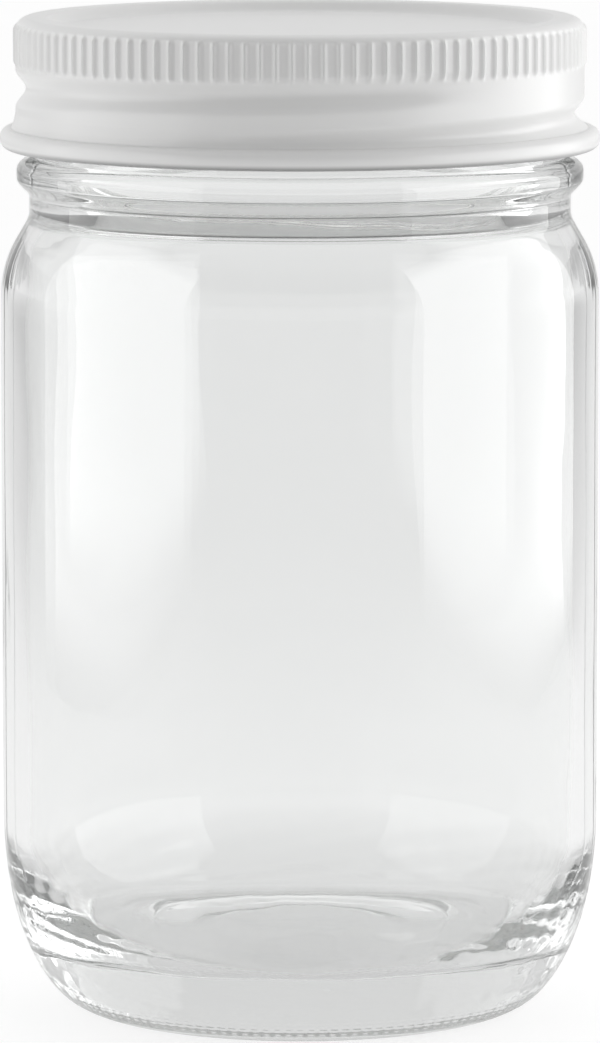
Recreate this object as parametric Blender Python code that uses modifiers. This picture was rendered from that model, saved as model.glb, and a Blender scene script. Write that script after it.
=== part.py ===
"""A clear glass jar with a continuous-thread finish, closed by a one-piece enamelled metal screw lid.

Three pieces: glass_jar, lid_shell and lid_gasket, the sealing ring in the channel under the lid's rim.
The jar stands on z = 0 with the Z axis as its axis. The lid's two pieces hang from the empty lid_seat,
on that axis at the height of the lid's bottom edge, and unscrew about it: a right-hand thread, so the
lid rises by one pitch for each turn anticlockwise as seen from above. Units are metres.
"""

import math

import bmesh
import bpy
from mathutils import Matrix

MM = 0.001
PART_NAME = "mason_jar"

# Driving dimensions of the jar
BODY_R = 38.0 * MM
WALL = 3.2 * MM
HEEL_WIDTH = 12.0 * MM
HEEL_HEIGHT = 24.5 * MM
SHOULDER_Z = 91.5 * MM
SHOULDER_ARC_R = 14.0 * MM
SHOULDER_ANGLE = 30.0
NECK_R = 34.4 * MM
LIP_Z = 125.0 * MM
FLOOR_Z = 9.5 * MM
FLOOR_CORNER_R = 2.3 * MM
INNER_HEEL_R = 30.0 * MM
INNER_HEEL_ANGLE = 40.0
INNER_SHOULDER_RISE = 1.2 * MM
PUSH_UP = 3.0 * MM
BEARING_WIDTH = 2.6 * MM

# The finish: the thread, its root cylinder and the mouth
PITCH = 6.35 * MM
THREAD_R = 34.95 * MM
THREAD_DEPTH = 1.2 * MM
THREAD_SECTION_R = 1.3 * MM
THREAD_START = math.radians(-165.0)
THREAD_END = math.radians(285.0)
THREAD_FADE = math.radians(30.0)
THREAD_SINK = 0.6 * MM
MOUTH_R = 29.8 * MM
LIP_ROUNDING = 1.4 * MM
BEAD_R = 36.0 * MM
BEAD_Z = 106.9 * MM
BEAD_HEIGHT = 4.6 * MM
BEAD_ROUNDING = 1.7 * MM

# The lid, whose heights are above its own bottom edge
LID_HEIGHT = 16.6 * MM
LID_BASE_Z = 110.3 * MM
SHEET = 0.3 * MM
SKIRT_R = 36.1 * MM
RIM_CORNER_R = 1.7 * MM
RIM_INNER_R = 32.4 * MM
PANEL_R = 30.3 * MM
PANEL_DROP = 1.4 * MM
CURL_R = 37.05 * MM
CURL_HALF_WIDTH = 1.1 * MM
CURL_HALF_HEIGHT = 1.3 * MM
FLARE_Z = 4.6 * MM
FLARE_WIDTH = 0.25 * MM
GROOVE_Z = 4.37 * MM
GROOVE_DEPTH = 1.3 * MM
GROOVE_HALF_WIDTH = 2.4 * MM
GROOVE_START = math.radians(-125.0)
GROOVE_END = math.radians(318.0)
GROOVE_FADE = math.radians(35.0)
THREAD_ABOVE_GROOVE = 2.4 * MM
RIBS = 116
RIB_BOTTOM_Z = 10.9 * MM
RIB_TOP_Z = 15.6 * MM
RIB_HEIGHT = 0.25 * MM
RIB_HALF_WIDTH = 0.5 * MM

# The sealing ring, clear of the metal above it and the lip below it
GAP = 0.3 * MM
GASKET_INNER_R = 32.0 * MM
GASKET_OUTER_R = 35.1 * MM
GASKET_BEVEL = 0.5 * MM
GASKET_THICKNESS = 1.0 * MM

SIDES = RIBS // 2
SKIRT_ROWS = 7


def clear_scene():
    for obj in list(bpy.data.objects):
        bpy.data.objects.remove(obj, do_unlink=True)


def make_collection(name):
    collection = bpy.data.collections.new(name)
    bpy.context.scene.collection.children.link(collection)
    return collection


def arc(centre_r, centre_z, half_width, half_height, start, end, steps):
    """Points (r, z) on an elliptical arc, with angles in degrees from the outward direction towards up."""
    points = []
    for step in range(steps + 1):
        angle = math.radians(start + (end - start) * step / steps)
        points.append((centre_r + half_width * math.cos(angle), centre_z + half_height * math.sin(angle)))
    return points


def ease(share):
    """A smooth ramp from 0 to 1, level at both ends."""
    share = min(max(share, 0.0), 1.0)
    return share * share * (3.0 - 2.0 * share)


def turned_object(name, profile, collection, closed=False):
    """A profile of (r, z) points turned about the Z axis with a Screw modifier."""
    mesh = bpy.data.meshes.new(name)
    last = len(profile) - 1
    edges = [(i, i + 1) for i in range(last)]
    if closed:
        edges.append((last, 0))
    mesh.from_pydata([(r, 0.0, z) for r, z in profile], edges, [])
    obj = bpy.data.objects.new(name, mesh)
    collection.objects.link(obj)
    screw = obj.modifiers.new("Turn", "SCREW")
    screw.axis = "Z"
    screw.angle = 2.0 * math.pi
    screw.steps = SIDES
    screw.render_steps = SIDES
    screw.use_merge_vertices = True
    screw.merge_threshold = 0.01 * MM
    screw.use_smooth_shade = True
    return obj


def bake(obj):
    """Replaces an object's mesh or curve by the mesh its modifiers make, and returns the new mesh object."""
    bpy.context.view_layer.update()
    evaluated = obj.evaluated_get(bpy.context.evaluated_depsgraph_get())
    mesh = bpy.data.meshes.new_from_object(evaluated)
    baked = bpy.data.objects.new(obj.name, mesh)
    baked.matrix_world = obj.matrix_world
    name = obj.name
    for collection in obj.users_collection:
        collection.objects.link(baked)
    bpy.data.objects.remove(obj, do_unlink=True)
    baked.name = name
    return baked


def weld(obj, distance):
    shape = bmesh.new()
    shape.from_mesh(obj.data)
    bmesh.ops.remove_doubles(shape, verts=shape.verts, dist=distance)
    bmesh.ops.recalc_face_normals(shape, faces=shape.faces)
    shape.to_mesh(obj.data)
    shape.free()


def paint(obj, colour, roughness, metallic=0.0, transmission=0.0):
    material = bpy.data.materials.new(obj.name)
    material.use_nodes = True
    shader = material.node_tree.nodes["Principled BSDF"]
    shader.inputs["Base Color"].default_value = (*colour, 1.0)
    shader.inputs["Roughness"].default_value = roughness
    shader.inputs["Metallic"].default_value = metallic
    shader.inputs["Transmission Weight"].default_value = transmission
    obj.data.materials.append(material)


def join_shape(obj, helper):
    """Unites a helper shape with an object, and keeps the helper as a hidden wire object."""
    helper.hide_render = True
    helper.display_type = "WIRE"
    union = obj.modifiers.new("Join " + helper.name, "BOOLEAN")
    union.operation = "UNION"
    union.object = helper


def jar_inside():
    """The inner surface, from the middle of the floor up to the mouth.

    A tight corner joins the floor to the heel's wide arc at INNER_HEEL_R. The shoulder has the outer
    one's slope, a little higher up, and runs on behind the neck to the mouth's cylinder."""
    inner_r = BODY_R - WALL
    lean = math.radians(INNER_HEEL_ANGLE)
    heel_arc_r = (inner_r - INNER_HEEL_R) / (1.0 - math.cos(lean))
    heel_top = FLOOR_Z + FLOOR_CORNER_R + (heel_arc_r - FLOOR_CORNER_R) * math.sin(lean)
    floor_r = INNER_HEEL_R - FLOOR_CORNER_R * math.cos(lean)
    corner_z = FLOOR_Z + FLOOR_CORNER_R
    points = [(0.0, FLOOR_Z)]
    points += arc(floor_r, corner_z, FLOOR_CORNER_R, FLOOR_CORNER_R, -90, -INNER_HEEL_ANGLE, 2)
    points += arc(inner_r - heel_arc_r, heel_top, heel_arc_r, heel_arc_r, -INNER_HEEL_ANGLE, 0, 4)[1:]
    arc_r = SHOULDER_ARC_R - WALL
    arc_z = SHOULDER_Z + INNER_SHOULDER_RISE
    shoulder = arc(inner_r - arc_r, arc_z, arc_r, arc_r, 0, SHOULDER_ANGLE, 3)
    slope_r, slope_z = shoulder[-1]
    mouth_z = slope_z + (slope_r - MOUTH_R) / math.tan(math.radians(SHOULDER_ANGLE))
    return points + shoulder + [(MOUTH_R, mouth_z)]


def jar_finish():
    """The lip, the root cylinder of the thread and the bead, from the mouth down to the neck."""
    root_r = THREAD_R - THREAD_DEPTH
    lip = LIP_Z - LIP_ROUNDING
    flat = 0.5 * BEAD_HEIGHT - BEAD_ROUNDING
    points = arc(MOUTH_R + LIP_ROUNDING, lip, LIP_ROUNDING, LIP_ROUNDING, 180, 90, 2)
    points += arc(root_r - LIP_ROUNDING, lip, LIP_ROUNDING, LIP_ROUNDING, 90, 0, 2)
    points += arc(root_r, BEAD_Z + flat, BEAD_R - root_r, BEAD_ROUNDING, 90, 0, 3)
    points += arc(NECK_R, BEAD_Z - flat, BEAD_R - NECK_R, BEAD_ROUNDING, 0, -90, 3)
    return points


def jar_outside():
    """The neck, shoulder, body, heel and pushed-up base, from the neck down to the base's middle."""
    turn = math.radians(SHOULDER_ANGLE)
    arc_top = SHOULDER_Z + SHOULDER_ARC_R * math.sin(turn)
    arc_r = BODY_R - SHOULDER_ARC_R * (1.0 - math.cos(turn))
    neck_z = arc_top + (arc_r - NECK_R) / math.tan(turn)
    centre_r = BODY_R - SHOULDER_ARC_R
    bearing_r = BODY_R - HEEL_WIDTH
    points = [(NECK_R, neck_z)]
    points += arc(centre_r, SHOULDER_Z, SHOULDER_ARC_R, SHOULDER_ARC_R, SHOULDER_ANGLE, 0, 4)
    points += arc(bearing_r, HEEL_HEIGHT, HEEL_WIDTH, HEEL_HEIGHT, 0, -90, 7)
    ring_r = bearing_r - BEARING_WIDTH
    points += [(ring_r, 0.0), (0.8 * ring_r, 0.6 * PUSH_UP), (0.0, PUSH_UP)]
    return points


def thread_on_glass(collection):
    """The raised thread: a tube along the helix, half sunk in the neck, whose ends run out into the glass."""
    middle_r = THREAD_R - THREAD_SECTION_R
    steps = 60
    start_z = LID_BASE_Z + GROOVE_Z + THREAD_ABOVE_GROOVE
    curve = bpy.data.curves.new("glass_thread", "CURVE")
    curve.dimensions = "3D"
    curve.bevel_depth = THREAD_SECTION_R
    curve.bevel_resolution = 2
    curve.use_fill_caps = True
    spline = curve.splines.new("POLY")
    spline.points.add(steps)
    for step, point in enumerate(spline.points):
        angle = THREAD_START + (THREAD_END - THREAD_START) * step / steps
        share = ease((angle - THREAD_START) / THREAD_FADE) * ease((THREAD_END - angle) / THREAD_FADE)
        radius = middle_r - THREAD_SINK * (1.0 - share)
        z = start_z + PITCH * angle / (2.0 * math.pi)
        point.co = (radius * math.cos(angle), radius * math.sin(angle), z, 1.0)
        point.radius = 0.3 + 0.7 * share
    obj = bpy.data.objects.new("glass_thread", curve)
    collection.objects.link(obj)
    obj = bake(obj)
    weld(obj, 0.001 * MM)
    return obj


def make_jar(parts, helpers):
    jar = turned_object("glass_jar", jar_inside() + jar_finish() + jar_outside(), parts)
    join_shape(jar, thread_on_glass(helpers))
    paint(jar, (0.95, 0.97, 0.96), 0.02, transmission=1.0)
    return jar


def lid_profile():
    """The outer face of the lid's sheet, from the middle of the panel to the raw edge inside the curl."""
    panel_z = LID_HEIGHT - PANEL_DROP
    step_r = 0.5 * (PANEL_R + RIM_INNER_R)
    points = [(0.0, panel_z), (PANEL_R, panel_z), (step_r, LID_HEIGHT - 0.25 * PANEL_DROP)]
    points.append((RIM_INNER_R, LID_HEIGHT))
    corner_z = LID_HEIGHT - RIM_CORNER_R
    points += arc(SKIRT_R - RIM_CORNER_R, corner_z, RIM_CORNER_R, RIM_CORNER_R, 90, 0, 3)
    skirt_top = RIB_BOTTOM_Z + 0.3 * MM
    for row in range(SKIRT_ROWS):
        z = skirt_top + (FLARE_Z - skirt_top) * row / (SKIRT_ROWS - 1)
        points.append((SKIRT_R, z))
    points.append((SKIRT_R + FLARE_WIDTH, 0.75 * FLARE_Z))
    points += arc(CURL_R, CURL_HALF_HEIGHT, CURL_HALF_WIDTH, CURL_HALF_HEIGHT, 110, -170, 8)
    return points


def groove_depth(angle, z):
    """How far the rolled thread draws the skirt in at an angle and a height above the lid's bottom edge."""
    depth = 0.0
    for turn in (-1, 0, 1):
        along = angle + 2.0 * math.pi * turn
        across = abs(z - GROOVE_Z - PITCH * along / (2.0 * math.pi))
        if across < GROOVE_HALF_WIDTH and GROOVE_START < along < GROOVE_END:
            ends = ease((along - GROOVE_START) / GROOVE_FADE) * ease((GROOVE_END - along) / GROOVE_FADE)
            depth += GROOVE_DEPTH * ends * math.cos(0.5 * math.pi * across / GROOVE_HALF_WIDTH) ** 2
    above_curl = ease((z - 0.5 * FLARE_Z) / (0.25 * FLARE_Z))
    return depth * above_curl


def roll_thread(lid):
    """Draws the skirt in along the right-hand helix of the lid's thread."""
    for vertex in lid.data.vertices:
        radius = math.hypot(vertex.co.x, vertex.co.y)
        if radius < SKIRT_R - 0.01 * MM or vertex.co.z > RIB_BOTTOM_Z + 0.5 * MM:
            continue
        angle = math.atan2(vertex.co.y, vertex.co.x)
        share = (radius - groove_depth(angle, vertex.co.z)) / radius
        vertex.co.x *= share
        vertex.co.y *= share


def knurl_ribs(collection):
    """One three-sided prism for each rib, with its back edge sunk in the lid's sheet."""
    shape = bmesh.new()
    depth = RIB_TOP_Z - RIB_BOTTOM_Z
    crest_r = SKIRT_R + RIB_HEIGHT
    back_r = SKIRT_R - 0.5 * SHEET
    prism_r = (crest_r - back_r) / 1.5
    widen = RIB_HALF_WIDTH / (prism_r * math.sin(math.radians(60.0)))
    stand = Matrix.Diagonal((1.0, widen, 1.0, 1.0)) @ Matrix.Rotation(math.radians(-90.0), 4, "Z")
    outward = Matrix.Translation((crest_r - prism_r, 0.0, 0.5 * (RIB_BOTTOM_Z + RIB_TOP_Z)))
    for rib in range(RIBS):
        turn = Matrix.Rotation(2.0 * math.pi * (rib + 0.5) / RIBS, 4, "Z")
        bmesh.ops.create_cone(
            shape,
            cap_ends=True,
            segments=3,
            radius1=prism_r,
            radius2=prism_r,
            depth=depth,
            matrix=turn @ outward @ stand,
        )
    mesh = bpy.data.meshes.new("knurl_ribs")
    shape.to_mesh(mesh)
    shape.free()
    obj = bpy.data.objects.new("knurl_ribs", mesh)
    collection.objects.link(obj)
    return obj


def make_lid(parts, helpers, seat):
    lid = bake(turned_object("lid_shell", lid_profile(), parts))
    roll_thread(lid)
    sheet = lid.modifiers.new("Sheet", "SOLIDIFY")
    sheet.thickness = SHEET
    sheet.offset = -1.0
    sheet.use_even_offset = True
    ribs = knurl_ribs(helpers)
    join_shape(lid, ribs)
    lid.parent = seat
    ribs.parent = seat
    paint(lid, (0.84, 0.84, 0.83), 0.3)
    return lid


def make_gasket(parts, seat):
    """The ring of sealing compound, closed by its own outline, its upper corners cut back."""
    top = LID_HEIGHT - SHEET - GAP
    bottom = top - GASKET_THICKNESS
    profile = [
        (GASKET_INNER_R + GASKET_BEVEL, top),
        (GASKET_OUTER_R - GASKET_BEVEL, top),
        (GASKET_OUTER_R, top - 1.25 * GASKET_BEVEL),
        (GASKET_OUTER_R, bottom),
        (GASKET_INNER_R, bottom),
        (GASKET_INNER_R, top - GASKET_BEVEL),
    ]
    gasket = turned_object("lid_gasket", profile, parts, closed=True)
    gasket.parent = seat
    paint(gasket, (0.72, 0.71, 0.66), 0.55)
    return gasket


def main():
    clear_scene()
    parts = make_collection(PART_NAME)
    helpers = make_collection(PART_NAME + "_cutters")
    seat = bpy.data.objects.new("lid_seat", None)
    seat.location = (0.0, 0.0, LID_BASE_Z)
    parts.objects.link(seat)
    make_jar(parts, helpers)
    make_lid(parts, helpers, seat)
    make_gasket(parts, seat)


main()
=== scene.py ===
"""The looks of a clear glass jar with a white metal screw lid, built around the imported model.

Three fine pieces stand for the three plain solids: the glass jar with its thread, bead and pushed-up
base, the enamelled lid with its knurl, rolled thread and curled edge, and the sealing ring inside it.
The body's radius, the lip's height, the lid's place and size and the ring's come from the frame.
"""

import math

import bpy
import numpy as np
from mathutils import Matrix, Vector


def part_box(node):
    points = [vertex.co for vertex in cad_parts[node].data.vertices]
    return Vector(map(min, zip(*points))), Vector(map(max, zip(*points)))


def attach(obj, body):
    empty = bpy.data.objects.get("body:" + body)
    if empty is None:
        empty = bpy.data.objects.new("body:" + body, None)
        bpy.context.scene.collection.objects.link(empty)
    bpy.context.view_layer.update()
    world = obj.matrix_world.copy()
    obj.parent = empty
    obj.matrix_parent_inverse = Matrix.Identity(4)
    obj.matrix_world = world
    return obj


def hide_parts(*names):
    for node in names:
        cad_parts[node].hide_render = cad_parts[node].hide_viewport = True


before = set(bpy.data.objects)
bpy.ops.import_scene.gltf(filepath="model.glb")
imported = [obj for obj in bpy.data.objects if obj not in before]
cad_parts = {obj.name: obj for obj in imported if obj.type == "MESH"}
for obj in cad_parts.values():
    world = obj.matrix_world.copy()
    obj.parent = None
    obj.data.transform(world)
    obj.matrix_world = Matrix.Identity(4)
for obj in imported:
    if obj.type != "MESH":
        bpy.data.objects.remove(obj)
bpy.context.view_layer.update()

MM = 0.001
TURN = 2.0 * math.pi

_, jar_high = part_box("glass_jar")
lid_low, lid_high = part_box("lid_shell")
ring_low, ring_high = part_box("lid_gasket")

# The jar
BODY_R = jar_high.x
LIP_Z = jar_high.z
WALL = 3.2 * MM
HEEL_WIDTH = 12.0 * MM
HEEL_HEIGHT = 24.5 * MM
SHOULDER_Z = 91.5 * MM
SHOULDER_ARC_R = 14.0 * MM
SHOULDER_ANGLE = 30.0
NECK_R = BODY_R - 3.6 * MM
FLOOR_Z = 9.5 * MM
INNER_HEEL_R = 30.0 * MM
INNER_HEEL_ANGLE = 40.0
FLOOR_CORNER_R = 2.3 * MM
NECK_HOLLOW_R = 3.0 * MM
MOUTH_HOLLOW_R = 1.5 * MM
INNER_SHOULDER_RISE = 1.2 * MM
PUSH_UP = 3.0 * MM
BEARING_WIDTH = 2.6 * MM
# The base rises over this share of the way in from the bearing ring
PUSH_UP_SHARE = 0.625
BASE_POINTS = 70

# The finish
PITCH = 6.35 * MM
THREAD_DEPTH = 1.2 * MM
THREAD_HALF_WIDTH = 1.6 * MM
THREAD_START = math.radians(-165.0)
THREAD_END = math.radians(285.0)
THREAD_FADE = math.radians(30.0)
ROOT_R = BODY_R - 4.25 * MM
MOUTH_R = 29.8 * MM
LIP_ROUNDING = 1.4 * MM
BEAD_R = BODY_R - 2.0 * MM
BEAD_Z = 106.9 * MM
BEAD_HALF = 2.3 * MM
BEAD_ROUNDING = 1.9 * MM
BEAD_UNDERSIDE = 2.4 * MM
BEAD_BOTTOM_POINTS = 24

# Small marks of glass making. Each wave is its share, its lobes around, its wavelength and its phase.
WAVES = ((0.5, 3, 90.0 * MM, 0.4), (0.3, 7, -55.0 * MM, 2.1), (0.2, 13, 36.0 * MM, 4.4))
WAVE_HEIGHT = 0.07 * MM
WAVE_OUTSIDE_SHARE = 0.25
WAVE_TOP_Z = LIP_Z - 14.0 * MM
WAVE_FADE = 6.0 * MM
SEAM_HEIGHT = 0.05 * MM
SEAM_HALF_WIDTH = 0.5 * MM
SEAM_BOTTOM_Z = 4.0 * MM
SEAM_BOTTOM_FADE = 4.0 * MM
SEAM_TOP_FADE = 8.0 * MM
STIPPLE_HEIGHT = 0.12 * MM
STIPPLE_SPACING = 1.2 * MM
STIPPLE_TOP_Z = 4.0 * MM
STIPPLE_FADE = 2.0 * MM
MOTTLE_HEIGHT = 0.03 * MM
MOTTLE_BOTTOM_Z = 0.5 * MM
MOTTLE_BOTTOM_FADE = 2.0 * MM
MOTTLE_TOP_Z = 22.0 * MM
MOTTLE_TOP_FADE = 8.0 * MM
BASE_RING_R = 19.3 * MM
BASE_RING_DEPTH = 0.06 * MM
BASE_RING_HALF_WIDTH = 0.7 * MM

# The lid, with heights above its bottom edge
LID_Z = lid_low.z
LID_HEIGHT = lid_high.z - lid_low.z
CURL_HALF_WIDTH = 1.1 * MM
CURL_HALF_HEIGHT = 1.3 * MM
CURL_R = lid_high.x - CURL_HALF_WIDTH
CURL_START = 110.0
CURL_END = -170.0
SKIRT_R = lid_high.x - 2.05 * MM
SHEET = 0.28 * MM
RIM_CORNER_R = 1.7 * MM
RIM_INNER_R = SKIRT_R - 3.7 * MM
PANEL_R = SKIRT_R - 5.8 * MM
PANEL_DROP = 1.4 * MM
FLARE_WIDTH = 0.25 * MM
FLARE_Z = 4.6 * MM
FLARE_FOOT_Z = 0.75 * FLARE_Z
GROOVE_Z = 4.37 * MM
GROOVE_DEPTH = 1.3 * MM
GROOVE_HALF_WIDTH = 2.4 * MM
GROOVE_START = math.radians(-125.0)
GROOVE_END = math.radians(318.0)
GROOVE_FADE = math.radians(35.0)
THREAD_ABOVE_GROOVE = 2.4 * MM
RIBS = 116
RIB_BOTTOM_Z = 10.4 * MM
RIB_TOP_Z = 15.9 * MM
RIB_RUN_OUT = 0.7 * MM
RIB_HEIGHT = 0.28 * MM
FLUTE_DEPTH = 0.2 * MM
RIB_SHARE = 0.22
RIB_FLANK_SHARE = 0.5
PANEL_STEP_POINTS = 16

# The sealing ring, whose outer radius and heights come from the frame
RING_INNER_R = 32.0 * MM
RING_UPPER_ROUNDING = 0.4 * MM
RING_LOWER_ROUNDING = 0.2 * MM
LIP_MARK_DEPTH = 0.12 * MM
LIP_MARK_HALF_WIDTH = 0.9 * MM

# How finely the pieces are cut, and how close two points are that count as one or as on a face
LID_COLUMNS = RIBS * 8
JAR_COLUMNS = 720
RING_COLUMNS = 360
FINE = 0.35 * MM
COARSE = 1.2 * MM
RING_FINE = 0.1 * MM
SAME_POINT = 0.002 * MM
ON_FACE = 0.01 * MM

# The painted shade on the curl's underside: below these heights above the lid's bottom edge, the enamel
# darkens to this colour
CURL_SHADE_COLOUR = (0.3, 0.3, 0.3)
CURL_SHADE_LOW_Z = 0.1 * MM
CURL_SHADE_HIGH_Z = 0.9 * MM

# The materials. A pair is the two ends between which noise moves a colour or a roughness.
GLASS_TINTS = ((0.963, 0.968, 0.965), (0.98, 0.984, 0.982))
GLASS_ROUGHNESS = (0.0, 0.01)
GLASS_IOR = 1.52
GLASS_ABSORPTION = (0.0, 0.04, 0.02, 1.0)
GLASS_DENSITY = 2.0
ENAMEL_COLOURS = ((0.79, 0.79, 0.785), (0.83, 0.83, 0.825))
ENAMEL_ROUGHNESS = (0.29, 0.35)
ENAMEL_COAT = 0.5
ENAMEL_COAT_ROUGHNESS = 0.28
COMPOUND_COLOURS = ((0.66, 0.65, 0.6), (0.74, 0.73, 0.69))
COMPOUND_ROUGHNESS = (0.45, 0.65)
LID_GLOW = 0.28
RING_GLOW = 0.65

# The studio, whose lights are levels of emission and whose lengths are in metres
FLOOR_SIZE = 8.0
FLOOR_DROP = 0.02 * MM
FLOOR_COLOURS = ((0.25, 0.25, 0.25), (0.27, 0.27, 0.27))
FLOOR_ROUGHNESS = 0.9
FLOOR_SPECULAR = 0.1
FLOOR_GLOW = 0.68
FLOOR_SIDE_GLOW = 0.4
FLOOR_SIDE_STRETCH = 0.5
FLOOR_GLOW_START = 0.06
FLOOR_GLOW_END = 0.3
FLOOR_SHADE = 0.8
FLOOR_SHADE_START = 60.0 * MM
FLOOR_SHADE_REACH = 130.0 * MM
FLOOR_SEEN_GLOW = 0.8
BOX_DISTANCE = 0.30
BOX_HEIGHT = 0.42
BOX_NEAR_SHARE = 0.9
BOX_FAR_SHARE = 1.05
BOX_BOTTOM_SHARE = 0.4
BOX_BOTTOM_FADE = 0.02
BOX_TOP_FADE = 0.1
LEFT_BOX_LEVEL = 1.5
LEFT_BOX_AZIMUTHS = (43.0, 110.0)
RIGHT_BOX_LEVEL = 2.0
RIGHT_BOX_AZIMUTHS = (46.0, 126.0)
BOUNCES = 64

# The world around, with its levels and the parts of a direction between which they change
FRONT_LEVEL = 0.08
BACK_LEVEL = 0.8
FRONT_TO_BACK_Y = (-0.35, 0.45)
LOW_TO_HIGH_Z = (0.1, 0.3)
OVERHEAD_LEVEL = 0.35
SIDE_TO_TOP_Z = (0.45, 0.9)

# The camera, on the front side at y below 0
CAMERA_DISTANCE = 1.0
CAMERA_HEIGHT = 0.1929
CAMERA_PITCH = math.radians(7.44)
LENS = 272.35


# ---------------------------------------------------------------- shapes

def ease(share):
    """A smooth ramp from 0 to 1, level at both ends. It takes arrays."""
    share = np.clip(share, 0.0, 1.0)
    return share * share * (3.0 - 2.0 * share)


def line(start, end, spacing):
    """Points (r, z) on a straight line, both ends included."""
    steps = max(1, math.ceil(math.dist(start, end) / spacing))
    return np.linspace(start, end, steps + 1)


def arc(centre_r, centre_z, half_width, half_height, start, end, spacing):
    """Points (r, z) on an elliptical arc. Angles are in degrees, from outward towards up."""
    length = math.radians(abs(end - start)) * max(half_width, half_height)
    angle = np.radians(np.linspace(start, end, max(3, math.ceil(length / spacing) + 1)))
    return np.stack([centre_r + half_width * np.cos(angle), centre_z + half_height * np.sin(angle)], 1)


def path(*stretches):
    """Stretches of points joined end to end, with each point that repeats the one before left out."""
    points = np.concatenate([np.atleast_2d(stretch) for stretch in stretches])
    step = np.linalg.norm(np.diff(points, axis=0), axis=1)
    return points[np.concatenate([[True], step > SAME_POINT])]


def turned(name, profile, columns, shift=None, closed=False):
    """A mesh turned about the Z axis from a profile (r, z) that runs down its outer side.

    shift(r, z, angle) gives how far each point moves outwards and upwards. A profile that starts or
    ends on the axis gets one point there."""
    starts_on_axis = profile[0, 0] < SAME_POINT
    ends_on_axis = profile[-1, 0] < SAME_POINT
    rows = profile[1 if starts_on_axis else 0:len(profile) - (1 if ends_on_axis else 0)]
    count = len(rows)
    angle = np.arange(columns) * TURN / columns
    radius = np.repeat(rows[:, :1], columns, 1)
    height = np.repeat(rows[:, 1:], columns, 1)
    if shift:
        outward, upward = shift(radius, height, np.repeat(angle[None, :], count, 0))
        radius = radius + outward
        height = height + upward
    points = np.stack([radius * np.cos(angle), radius * np.sin(angle), height], 2).reshape(-1, 3)
    here = np.arange(columns)
    after = (here + 1) % columns
    faces = []
    for row in range(count if closed else count - 1):
        upper = row * columns
        lower = (row + 1) % count * columns
        faces += np.stack([upper + here, lower + here, lower + after, upper + after], 1).tolist()
    points = points.tolist()
    if starts_on_axis:
        faces += [[len(points), a, b] for a, b in zip(here.tolist(), after.tolist())]
        points.append([0.0, 0.0, profile[0, 1]])
    if ends_on_axis:
        last = (count - 1) * columns
        faces += [[last + a, len(points), last + b] for a, b in zip(here.tolist(), after.tolist())]
        points.append([0.0, 0.0, profile[-1, 1]])
    mesh = bpy.data.meshes.new(name)
    mesh.from_pydata(points, [], faces)
    mesh.shade_smooth()
    obj = bpy.data.objects.new(name, mesh)
    bpy.context.scene.collection.objects.link(obj)
    return obj


def helix_ridge(height, angle, z_at_zero, half_width, start, end, fade):
    """From 0 beside a right-hand helix to 1 along its middle, fading at both of its ends."""
    total = np.zeros_like(height)
    for turn in (-1, 0, 1):
        along = angle + TURN * turn
        across = np.abs(height - z_at_zero - PITCH * along / TURN)
        ends = ease((along - start) / fade) * ease((end - along) / fade)
        total += ends * np.cos(0.5 * math.pi * np.clip(across / half_width, 0.0, 1.0)) ** 2
    return total


def ripple(angle, height, lobes, wavelength, phase):
    """A slanting wave from -1 to 1, with this many lobes around."""
    return np.sin(lobes * angle + phase + TURN * height / wavelength)


# ---------------------------------------------------------------- glass jar

def throat(start, end_r, hollow_r):
    """From the top of the shoulder's arc straight on to a hollow that turns upright at the radius end_r."""
    turn = math.radians(SHOULDER_ANGLE)
    corner_z = start[1] + (start[0] - end_r) / math.tan(turn)
    centre_z = corner_z + hollow_r * math.tan(0.5 * turn)
    hollow = arc(end_r + hollow_r, centre_z, hollow_r, hollow_r, 180 + SHOULDER_ANGLE, 180, 0.5 * FINE)
    return path(line(start, hollow[0], FINE), hollow)


def inside_profile():
    """The cavity's side of the glass, from the middle of the floor to the top of the mouth's wall."""
    inner_r = BODY_R - WALL
    lean = math.radians(INNER_HEEL_ANGLE)
    heel_arc_r = (inner_r - INNER_HEEL_R) / (1.0 - math.cos(lean))
    heel_top = FLOOR_Z + FLOOR_CORNER_R + (heel_arc_r - FLOOR_CORNER_R) * math.sin(lean)
    floor_r = INNER_HEEL_R - FLOOR_CORNER_R * math.cos(lean)
    corner_z = FLOOR_Z + FLOOR_CORNER_R
    floor = line((0.0, FLOOR_Z), (floor_r, FLOOR_Z), COARSE)
    corner = arc(
        floor_r, corner_z, FLOOR_CORNER_R, FLOOR_CORNER_R, -90, -INNER_HEEL_ANGLE, 0.5 * FINE
    )
    inner_heel = arc(
        inner_r - heel_arc_r, heel_top, heel_arc_r, heel_arc_r, -INNER_HEEL_ANGLE, 0, FINE
    )
    inner_wall = line((inner_r, heel_top), (inner_r, SHOULDER_Z), COARSE)
    inner_arc_r = SHOULDER_ARC_R - WALL
    inner_shoulder_z = SHOULDER_Z + INNER_SHOULDER_RISE
    inner_shoulder = arc(
        inner_r - inner_arc_r, inner_shoulder_z, inner_arc_r, inner_arc_r, 0, SHOULDER_ANGLE, FINE
    )
    inner_throat = throat(inner_shoulder[-1], MOUTH_R, MOUTH_HOLLOW_R)
    mouth = line(inner_throat[-1], (MOUTH_R, LIP_Z - LIP_ROUNDING), COARSE)
    return path(floor, corner, inner_heel, inner_wall, inner_shoulder, inner_throat, mouth)


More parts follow.
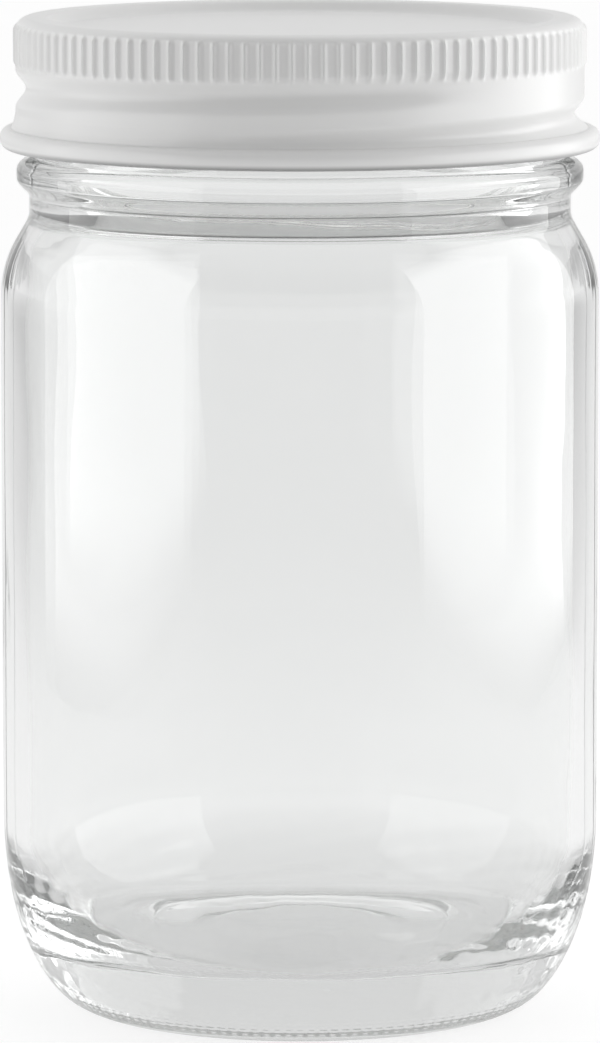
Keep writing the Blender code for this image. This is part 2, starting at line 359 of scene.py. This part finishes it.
def finish_profile():
    """The lip, the cylinder that carries the thread, and the bead below it."""
    lip = LIP_Z - LIP_ROUNDING
    lip_inside = arc(MOUTH_R + LIP_ROUNDING, lip, LIP_ROUNDING, LIP_ROUNDING, 180, 90, 0.5 * FINE)
    lip_outside = arc(ROOT_R - LIP_ROUNDING, lip, LIP_ROUNDING, LIP_ROUNDING, 90, 0, 0.5 * FINE)
    flat = BEAD_HALF - BEAD_ROUNDING
    root = line((ROOT_R, lip), (ROOT_R, BEAD_Z + BEAD_HALF), 0.7 * FINE)
    bead_top = arc(ROOT_R, BEAD_Z + flat, BEAD_R - ROOT_R, BEAD_ROUNDING, 90, 0, 0.4 * FINE)
    drop = np.linspace(0.0, 1.0, BEAD_BOTTOM_POINTS)
    bead_bottom = np.stack(
        [BEAD_R - (BEAD_R - NECK_R) * ease(drop), BEAD_Z - flat - BEAD_UNDERSIDE * drop], 1
    )
    return path(lip_inside, lip_outside, root, bead_top, bead_bottom)


def outside_profile(start):
    """The outer side of the glass, from the point under the bead to the middle of the base."""
    shoulder = arc(
        BODY_R - SHOULDER_ARC_R, SHOULDER_Z, SHOULDER_ARC_R, SHOULDER_ARC_R, SHOULDER_ANGLE, 0, FINE
    )
    outer_throat = throat(shoulder[0], NECK_R, NECK_HOLLOW_R)[::-1]
    neck = line(start, outer_throat[0], 0.5 * FINE)
    wall = line((BODY_R, SHOULDER_Z), (BODY_R, HEEL_HEIGHT), COARSE)
    bearing_r = BODY_R - HEEL_WIDTH
    heel = arc(bearing_r, HEEL_HEIGHT, HEEL_WIDTH, HEEL_HEIGHT, 0, -90, FINE)
    base_r = bearing_r - BEARING_WIDTH
    bearing = line((bearing_r, 0.0), (base_r, 0.0), FINE)
    share = np.linspace(0.0, 1.0, BASE_POINTS)
    push_up = np.stack([base_r * (1.0 - share), PUSH_UP * ease(share / PUSH_UP_SHARE)], 1)
    return path(neck, outer_throat, shoulder, wall, heel, bearing, push_up)


def jar_profile():
    """The section of the glass, from the middle of the floor, over the lip, to the middle of the base."""
    finish = finish_profile()
    return path(inside_profile(), finish, outside_profile(finish[-1]))


def thread_move(height, angle):
    """How far the thread stands out from the finish."""
    thread_z = LID_Z + GROOVE_Z + THREAD_ABOVE_GROOVE
    ridge = helix_ridge(
        height, angle, thread_z, THREAD_HALF_WIDTH, THREAD_START, THREAD_END, THREAD_FADE
    )
    return THREAD_DEPTH * ridge * ease((LIP_Z - LIP_ROUNDING - height) / LIP_ROUNDING)


def wave_move(height, angle):
    """The slow waves that moulded glass has, which fade out at the floor and below the finish."""
    wave = sum(share * ripple(angle, height, *shape) for share, *shape in WAVES)
    reach = ease((height - FLOOR_Z) / WAVE_FADE) * ease((WAVE_TOP_Z - height) / WAVE_FADE)
    return WAVE_HEIGHT * wave * reach


def seam_move(radius, height, angle):
    """The two seams, left and right, where the halves of the mould met."""
    seam = ease(1.0 - np.abs(np.sin(angle)) * radius / SEAM_HALF_WIDTH)
    foot = ease((height - SEAM_BOTTOM_Z) / SEAM_BOTTOM_FADE)
    return SEAM_HEIGHT * seam * foot * ease((LIP_Z - height) / SEAM_TOP_FADE)


def stipple_move(radius, height, angle):
    """Rows of small knobs low on the heel."""
    knobs_round = np.round(TURN * (BODY_R - HEEL_WIDTH) / STIPPLE_SPACING)
    along = 0.5 + 0.5 * np.cos(knobs_round * angle)
    row = 0.5 + 0.5 * np.cos(TURN * (radius + height) / STIPPLE_SPACING)
    return STIPPLE_HEIGHT * (along * row) ** 2 * ease((STIPPLE_TOP_Z - height) / STIPPLE_FADE)


def mottle_move(height, angle):
    """The faintly uneven skin that moulded glass has low on its sides."""
    mottle = ripple(angle, height, 31, 9.0 * MM, 0.7) * ripple(angle, height, 19, -6.0 * MM, 1.9)
    foot = ease((height - MOTTLE_BOTTOM_Z) / MOTTLE_BOTTOM_FADE)
    return MOTTLE_HEIGHT * mottle * foot * ease((MOTTLE_TOP_Z - height) / MOTTLE_TOP_FADE)


def shape_glass(radius, height, angle):
    """The thread and the small marks of glass making, as moves of the turned surface."""
    inner = radius < MOUTH_R + ON_FACE
    inner |= (radius < BODY_R - 0.9 * WALL) & (height > FLOOR_Z - ON_FACE) & (height < SHOULDER_Z)
    inner |= (radius < NECK_R - 0.5 * MM) & (height > SHOULDER_Z) & (height < BEAD_Z - BEAD_HALF)
    on_finish = (radius > ROOT_R - ON_FACE) & (height > BEAD_Z)
    under_floor = height < FLOOR_Z - ON_FACE

    outer_marks = seam_move(radius, height, angle)
    outer_marks += stipple_move(radius, height, angle) + mottle_move(height, angle)
    outward = wave_move(height, angle) * np.where(inner, 1.0, WAVE_OUTSIDE_SHARE)
    outward += np.where(inner, 0.0, outer_marks)
    outward += np.where(on_finish, thread_move(height, angle), 0.0)

    ring = ease(1.0 - np.abs(radius - BASE_RING_R) / BASE_RING_HALF_WIDTH)
    return outward, np.where(under_floor, BASE_RING_DEPTH * ring, 0.0)


def make_jar():
    jar = turned("jar_glass", jar_profile(), JAR_COLUMNS, shape_glass)
    jar.data.materials.append(clear_glass())
    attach(jar, "jar")
    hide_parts("glass_jar")


# ---------------------------------------------------------------- lid

def lid_profile():
    """The outer face of the lid's sheet, from the middle of the panel to the edge inside the curl."""
    panel_z = LID_HEIGHT - PANEL_DROP
    panel = line((0.0, panel_z), (PANEL_R - 1.0 * MM, panel_z), COARSE)
    share = np.linspace(0.0, 1.0, PANEL_STEP_POINTS)
    step = np.stack(
        [PANEL_R + (RIM_INNER_R - PANEL_R) * share, panel_z + PANEL_DROP * ease(share)], 1
    )
    corner_z = LID_HEIGHT - RIM_CORNER_R
    rim = line((RIM_INNER_R, LID_HEIGHT), (SKIRT_R - RIM_CORNER_R, LID_HEIGHT), FINE)
    corner = arc(SKIRT_R - RIM_CORNER_R, corner_z, RIM_CORNER_R, RIM_CORNER_R, 90, 0, 0.5 * FINE)
    skirt = line((SKIRT_R, corner_z), (SKIRT_R, FLARE_Z), 0.7 * FINE)
    flare = line((SKIRT_R, FLARE_Z), (SKIRT_R + FLARE_WIDTH, FLARE_FOOT_Z), 0.7 * FINE)
    curl = arc(
        CURL_R, CURL_HALF_HEIGHT, CURL_HALF_WIDTH, CURL_HALF_HEIGHT, CURL_START, CURL_END, 0.4 * FINE
    )
    neck = line(flare[-1], curl[0], 0.7 * FINE)
    return path(panel, step, rim, corner, skirt, flare, neck, curl)


def shape_lid(radius, height, angle):
    """The rolled thread and the knurl, as moves of the skirt's sheet."""
    skirt = radius > SKIRT_R - RIM_CORNER_R
    groove = helix_ridge(
        height, angle, GROOVE_Z, GROOVE_HALF_WIDTH, GROOVE_START, GROOVE_END, GROOVE_FADE
    )
    above_curl = ease((height - 0.35 * FLARE_Z) / (0.45 * FLARE_Z))
    outward = -GROOVE_DEPTH * groove * above_curl
    rib_phase = np.abs((angle * RIBS / TURN) % 1.0 - 0.5) * 2.0
    rib = ease((RIB_SHARE + 0.5 * RIB_FLANK_SHARE - rib_phase) / RIB_FLANK_SHARE)
    reach = ease((height - RIB_BOTTOM_Z) / RIB_RUN_OUT) * ease((RIB_TOP_Z - height) / RIB_RUN_OUT)
    outward += reach * (RIB_HEIGHT * rib - FLUTE_DEPTH * (1.0 - rib))
    return np.where(skirt, outward, 0.0), np.zeros_like(outward)


def make_lid():
    lid = turned("lid_shell_enamel", lid_profile(), LID_COLUMNS, shape_lid)
    lid.location.z = LID_Z
    sheet = lid.modifiers.new("Sheet", "SOLIDIFY")
    sheet.thickness = SHEET
    sheet.offset = -1.0
    sheet.use_even_offset = True
    lid.data.materials.append(white_enamel())
    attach(lid, "lid")
    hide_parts("lid_shell")


# ---------------------------------------------------------------- sealing ring

def ring_profile():
    """The section of the flowed-in compound, from the top of its outer side round to where it began."""
    top = ring_high.z
    bottom = ring_low.z
    outer_r = ring_high.x
    soft = RING_UPPER_ROUNDING
    firm = RING_LOWER_ROUNDING
    upper_out = arc(outer_r - soft, top - soft, soft, soft, 90, 0, RING_FINE)
    lower_out = arc(outer_r - firm, bottom + firm, firm, firm, 0, -90, RING_FINE)
    lower_in = arc(RING_INNER_R + firm, bottom + firm, firm, firm, -90, -180, RING_FINE)
    upper_in = arc(RING_INNER_R + soft, top - soft, soft, soft, 180, 90, RING_FINE)
    under = line(lower_out[-1], lower_in[0], 1.2 * RING_FINE)
    over = line(upper_in[-1], upper_out[0], FINE)[:-1]
    return path(upper_out, lower_out, under, lower_in, upper_in, over)


def press_ring(radius, height, angle):
    """The shallow mark that the jar's lip leaves in the underside."""
    middle_r = 0.5 * (RING_INNER_R + ring_high.x)
    on_underside = height < ring_low.z + ON_FACE
    mark = ease(1.0 - np.abs(radius - middle_r) / LIP_MARK_HALF_WIDTH) * on_underside
    return np.zeros_like(radius), LIP_MARK_DEPTH * mark * (0.9 + 0.1 * np.sin(9 * angle))


def make_ring():
    ring = turned("lid_gasket_ring", ring_profile(), RING_COLUMNS, press_ring, closed=True)
    ring.data.materials.append(sealing_compound())
    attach(ring, "lid_seal")
    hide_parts("lid_gasket")


# ---------------------------------------------------------------- materials

def add_node(tree, kind, inputs=None, **settings):
    """A shader node with its settings, whose inputs are values or other nodes' outputs."""
    node = tree.nodes.new(kind)
    for name, value in settings.items():
        setattr(node, name, value)
    for name, value in (inputs or {}).items():
        if isinstance(value, bpy.types.NodeSocket):
            tree.links.new(value, node.inputs[name])
        else:
            node.inputs[name].default_value = value
    return node


def new_material(name):
    """A material, with its tree, its Principled shader and the object's coordinates."""
    material = bpy.data.materials.new(name + "_looks")
    material.use_nodes = True
    tree = material.node_tree
    shader = tree.nodes["Principled BSDF"]
    place = add_node(tree, "ShaderNodeTexCoord").outputs["Object"]
    return material, tree, shader, place


def noise(tree, place, size, detail=3.0, stretch=(1.0, 1.0, 1.0)):
    """Noise from 0 to 1 whose blotches are about this size in metres."""
    mapping = add_node(tree, "ShaderNodeMapping", {"Vector": place, "Scale": stretch})
    settings = {"Vector": mapping.outputs["Vector"], "Scale": 1.0 / size, "Detail": detail}
    return add_node(tree, "ShaderNodeTexNoise", settings).outputs["Fac"]


def between(tree, share, low, high, start=0.0, end=1.0):
    """A value that goes from low to high as the share goes from start to end."""
    ends = {"Value": share, "From Min": start, "From Max": end, "To Min": low, "To Max": high}
    ramp = add_node(tree, "ShaderNodeMapRange", ends, interpolation_type="SMOOTHSTEP")
    return ramp.outputs["Result"]


def combined(tree, operation, *values):
    """One value worked out from others by a Math node."""
    node = add_node(tree, "ShaderNodeMath", dict(enumerate(values)), operation=operation)
    return node.outputs[0]


def mixed_colour(tree, share, first, second):
    """A colour that goes from the first to the second as the share goes from 0 to 1.

    Each colour is three numbers or another node's output."""
    node = add_node(tree, "ShaderNodeMix", data_type="RGBA")
    tree.links.new(share, node.inputs[0])
    # A Mix node's colours are its inputs 6 and 7, and its output 2.
    for colour, socket in ((first, node.inputs[6]), (second, node.inputs[7])):
        if isinstance(colour, bpy.types.NodeSocket):
            tree.links.new(colour, socket)
        else:
            socket.default_value = (*colour, 1.0)
    return node.outputs[2]


def roughen(tree, shader, height, strength, depth):
    """Marks too small to cut in the mesh, this deep in metres."""
    bump = add_node(
        tree, "ShaderNodeBump", {"Height": height, "Strength": strength, "Distance": depth}
    )
    tree.links.new(bump.outputs["Normal"], shader.inputs["Normal"])


def clear_glass():
    material, tree, shader, place = new_material("clear_glass")
    haze = noise(tree, place, 18.0 * MM)
    ripples = noise(tree, place, 9.0 * MM, 2.0, (1.0, 1.0, 0.35))
    tree.links.new(mixed_colour(tree, haze, *GLASS_TINTS), shader.inputs["Base Color"])
    tree.links.new(between(tree, haze, *GLASS_ROUGHNESS), shader.inputs["Roughness"])
    shader.inputs["IOR"].default_value = GLASS_IOR
    shader.inputs["Transmission Weight"].default_value = 1.0
    roughen(tree, shader, ripples, 1.0, 0.035 * MM)
    absorption = {"Color": GLASS_ABSORPTION, "Density": GLASS_DENSITY}
    depth = add_node(tree, "ShaderNodeVolumeAbsorption", absorption)
    tree.links.new(depth.outputs["Volume"], tree.nodes["Material Output"].inputs["Volume"])
    return material


def glow_inside(material, place, top_z, level):
    """A faint glow on the faces that look inwards or down inside the lid, below the height top_z.

    It stands for the light that thick glass leads up its walls from a bright table."""
    tree = material.node_tree
    shader = tree.nodes["Principled BSDF"]
    normal = add_node(tree, "ShaderNodeTexCoord").outputs["Normal"]
    normal_axes = add_node(tree, "ShaderNodeSeparateXYZ", {"Vector": normal})
    height = add_node(tree, "ShaderNodeSeparateXYZ", {"Vector": place}).outputs["Z"]
    level_place = add_node(
        tree, "ShaderNodeVectorMath", {0: place, 1: (1.0, 1.0, 0.0)}, operation="MULTIPLY"
    ).outputs[0]
    outward = add_node(
        tree, "ShaderNodeVectorMath", {0: level_place, 1: normal}, operation="DOT_PRODUCT"
    ).outputs["Value"]
    radius = add_node(
        tree, "ShaderNodeVectorMath", {0: level_place}, operation="LENGTH"
    ).outputs["Value"]
    faces_in = between(tree, outward, 1.0, 0.0, -0.5 * SKIRT_R, -0.1 * SKIRT_R)
    faces_down = between(tree, normal_axes.outputs["Z"], 1.0, 0.0, -0.8, -0.4)
    within = between(tree, radius, 1.0, 0.0, 0.93 * SKIRT_R, 0.95 * SKIRT_R)
    under = combined(tree, "MULTIPLY", faces_down, within)
    enclosed = combined(tree, "MAXIMUM", faces_in, under)
    above_curl = between(tree, height, 0.0, level, 0.5 * FLARE_Z, FLARE_Z)
    below_top = between(tree, height, 1.0, 0.0, top_z, top_z + 0.05 * MM)
    strength = combined(tree, "MULTIPLY", above_curl, below_top)
    glow = combined(tree, "MULTIPLY", enclosed, strength)
    shader.inputs["Emission Color"].default_value = (1.0, 1.0, 1.0, 1.0)
    tree.links.new(glow, shader.inputs["Emission Strength"])
    material.cycles.emission_sampling = "NONE"


def white_enamel():
    material, tree, shader, place = new_material("white_enamel")
    cloud = noise(tree, place, 14.0 * MM)
    peel = noise(tree, place, 0.9 * MM, 2.0)
    enamel = mixed_colour(tree, cloud, *ENAMEL_COLOURS)
    height = add_node(tree, "ShaderNodeSeparateXYZ", {"Vector": place}).outputs["Z"]
    # Painted shade: the enamel darkens towards the bottom of the curl's underside, where shadow falls under
    # the curl
    above_curl_shade = between(tree, height, 0.0, 1.0, CURL_SHADE_LOW_Z, CURL_SHADE_HIGH_Z)
    colour = mixed_colour(tree, above_curl_shade, CURL_SHADE_COLOUR, enamel)
    tree.links.new(colour, shader.inputs["Base Color"])
    tree.links.new(between(tree, cloud, *ENAMEL_ROUGHNESS), shader.inputs["Roughness"])
    glow_inside(material, place, LID_HEIGHT - PANEL_DROP - 0.1 * MM, LID_GLOW)
    shader.inputs["Coat Weight"].default_value = ENAMEL_COAT
    shader.inputs["Coat Roughness"].default_value = ENAMEL_COAT_ROUGHNESS
    roughen(tree, shader, peel, 0.5, 0.012 * MM)
    return material


def sealing_compound():
    material, tree, shader, place = new_material("sealing_compound")
    cloud = noise(tree, place, 6.0 * MM)
    grain = noise(tree, place, 0.4 * MM, 4.0)
    tree.links.new(mixed_colour(tree, cloud, *COMPOUND_COLOURS), shader.inputs["Base Color"])
    tree.links.new(between(tree, grain, *COMPOUND_ROUGHNESS), shader.inputs["Roughness"])
    glow_inside(material, place, ring_high.z, RING_GLOW)
    shader.inputs["Subsurface Weight"].default_value = 0.1
    shader.inputs["Subsurface Scale"].default_value = 1.0 * MM
    roughen(tree, shader, grain, 0.6, 0.02 * MM)
    return material


# ---------------------------------------------------------------- studio

def camera_rays(tree):
    """1 for a ray straight from the camera, and 0 for every other ray."""
    return add_node(tree, "ShaderNodeLightPath").outputs["Is Camera Ray"]


def floor_material():
    """Pale to the camera. To everything else it glows less to the sides, in front and under the jar."""
    material, tree, shader, place = new_material("studio_floor")
    grain = noise(tree, place, 40.0 * MM)
    tree.links.new(mixed_colour(tree, grain, *FLOOR_COLOURS), shader.inputs["Base Color"])
    shader.inputs["Roughness"].default_value = FLOOR_ROUGHNESS
    shader.inputs["Specular IOR Level"].default_value = FLOOR_SPECULAR
    shader.inputs["Emission Color"].default_value = (1.0, 1.0, 1.0, 1.0)
    axes = add_node(tree, "ShaderNodeSeparateXYZ", {"Vector": place})
    ahead = combined(tree, "MINIMUM", axes.outputs["Y"], 0.0)
    aside = combined(tree, "MULTIPLY", axes.outputs["X"], FLOOR_SIDE_STRETCH)
    away = add_node(tree, "ShaderNodeCombineXYZ", {"X": aside, "Y": ahead}).outputs["Vector"]
    distance = add_node(tree, "ShaderNodeVectorMath", {0: away}, operation="LENGTH").outputs["Value"]
    glow = between(tree, distance, FLOOR_GLOW, FLOOR_SIDE_GLOW, FLOOR_GLOW_START, FLOOR_GLOW_END)
    from_axis = add_node(tree, "ShaderNodeVectorMath", {0: place}, operation="LENGTH").outputs["Value"]
    light = between(tree, from_axis, FLOOR_SHADE, 1.0, FLOOR_SHADE_START, FLOOR_SHADE_REACH)
    shaded = combined(tree, "MULTIPLY", glow, light)
    level = between(tree, camera_rays(tree), shaded, FLOOR_SEEN_GLOW)
    tree.links.new(level, shader.inputs["Emission Strength"])
    return material


def make_floor():
    bpy.ops.mesh.primitive_plane_add(size=FLOOR_SIZE, location=(0.0, 0.0, -FLOOR_DROP))
    floor = bpy.context.object
    floor.name = "studio_floor"
    floor.data.materials.append(floor_material())
    return floor


def softbox_material(name, near_y, far_y, brightness):
    """Light that grows from the near edge to the far one and fades at the bottom and at the top."""
    material = bpy.data.materials.new(name)
    material.use_nodes = True
    tree = material.node_tree
    tree.nodes.remove(tree.nodes["Principled BSDF"])
    place = add_node(tree, "ShaderNodeTexCoord").outputs["Object"]
    axes = add_node(tree, "ShaderNodeSeparateXYZ", {"Vector": place})
    near = BOX_NEAR_SHARE * brightness
    far = BOX_FAR_SHARE * brightness
    across = between(tree, axes.outputs["Y"], near, far, near_y, far_y)
    bottom = between(tree, axes.outputs["Z"], BOX_BOTTOM_SHARE, 1.0, 0.0, BOX_BOTTOM_FADE)
    top = between(tree, axes.outputs["Z"], 1.0, 0.0, BOX_HEIGHT - BOX_TOP_FADE, BOX_HEIGHT)
    level = combined(tree, "MULTIPLY", across, combined(tree, "MULTIPLY", bottom, top))
    glow = add_node(tree, "ShaderNodeEmission", {"Strength": level})
    tree.links.new(glow.outputs["Emission"], tree.nodes["Material Output"].inputs["Surface"])
    return material


def make_softbox(name, side, azimuths, brightness):
    """An upright panel beside the jar, which the camera itself doesn't see.

    The azimuths of its two ends are in degrees from the camera's side. The side is -1 for the left
    one and 1 for the right one."""
    near_y, far_y = (-BOX_DISTANCE / math.tan(math.radians(azimuth)) for azimuth in azimuths)
    x = side * BOX_DISTANCE
    corners = [(x, near_y, 0.0), (x, far_y, 0.0), (x, far_y, BOX_HEIGHT), (x, near_y, BOX_HEIGHT)]
    mesh = bpy.data.meshes.new(name)
    mesh.from_pydata(corners, [], [(0, 1, 2, 3)])
    mesh.materials.append(softbox_material(name, near_y, far_y, brightness))
    box = bpy.data.objects.new(name, mesh)
    bpy.context.scene.collection.objects.link(box)
    box.visible_camera = False
    return box


def make_world():
    """White to the camera. To everything else it is pale behind the jar and low down, and dim in front."""
    world = bpy.data.worlds.new("studio")
    bpy.context.scene.world = world
    world.use_nodes = True
    tree = world.node_tree
    direction = add_node(tree, "ShaderNodeTexCoord").outputs["Generated"]
    axes = add_node(tree, "ShaderNodeSeparateXYZ", {"Vector": direction})
    behind = between(tree, axes.outputs["Y"], 0.0, 1.0, *FRONT_TO_BACK_Y)
    low = between(tree, axes.outputs["Z"], 1.0, 0.0, *LOW_TO_HIGH_Z)
    overhead = between(tree, axes.outputs["Z"], 0.0, 1.0, *SIDE_TO_TOP_Z)
    around = between(tree, combined(tree, "MAXIMUM", behind, low), FRONT_LEVEL, BACK_LEVEL)
    lit = combined(tree, "MULTIPLY_ADD", overhead, OVERHEAD_LEVEL, around)
    background = tree.nodes["Background"]
    background.inputs["Color"].default_value = (1.0, 1.0, 1.0, 1.0)
    tree.links.new(between(tree, camera_rays(tree), lit, 1.0), background.inputs["Strength"])


def make_camera():
    data = bpy.data.cameras.new("camera")
    data.lens = LENS
    data.clip_start = 0.05
    camera = bpy.data.objects.new("camera", data)
    camera.location = (0.0, -CAMERA_DISTANCE, CAMERA_HEIGHT)
    camera.rotation_euler = (0.5 * math.pi - CAMERA_PITCH, 0.0, 0.0)
    bpy.context.scene.collection.objects.link(camera)
    bpy.context.scene.camera = camera


def set_light_paths():
    """Enough bounces for light that runs around inside thick glass."""
    cycles = bpy.context.scene.cycles
    cycles.max_bounces = BOUNCES
    cycles.glossy_bounces = BOUNCES
    cycles.transmission_bounces = BOUNCES


def make_studio():
    floor = make_floor()
    left = make_softbox("softbox_left", -1, LEFT_BOX_AZIMUTHS, LEFT_BOX_LEVEL)
    right = make_softbox("softbox_right", 1, RIGHT_BOX_AZIMUTHS, RIGHT_BOX_LEVEL)
    make_world()
    make_camera()
    set_light_paths()
    bpy.context.scene.view_settings.view_transform = "Standard"
    bpy.context.scene.view_settings.look = "None"


make_jar()
make_lid()
make_ring()
make_studio()

bpy.context.view_layer.update()
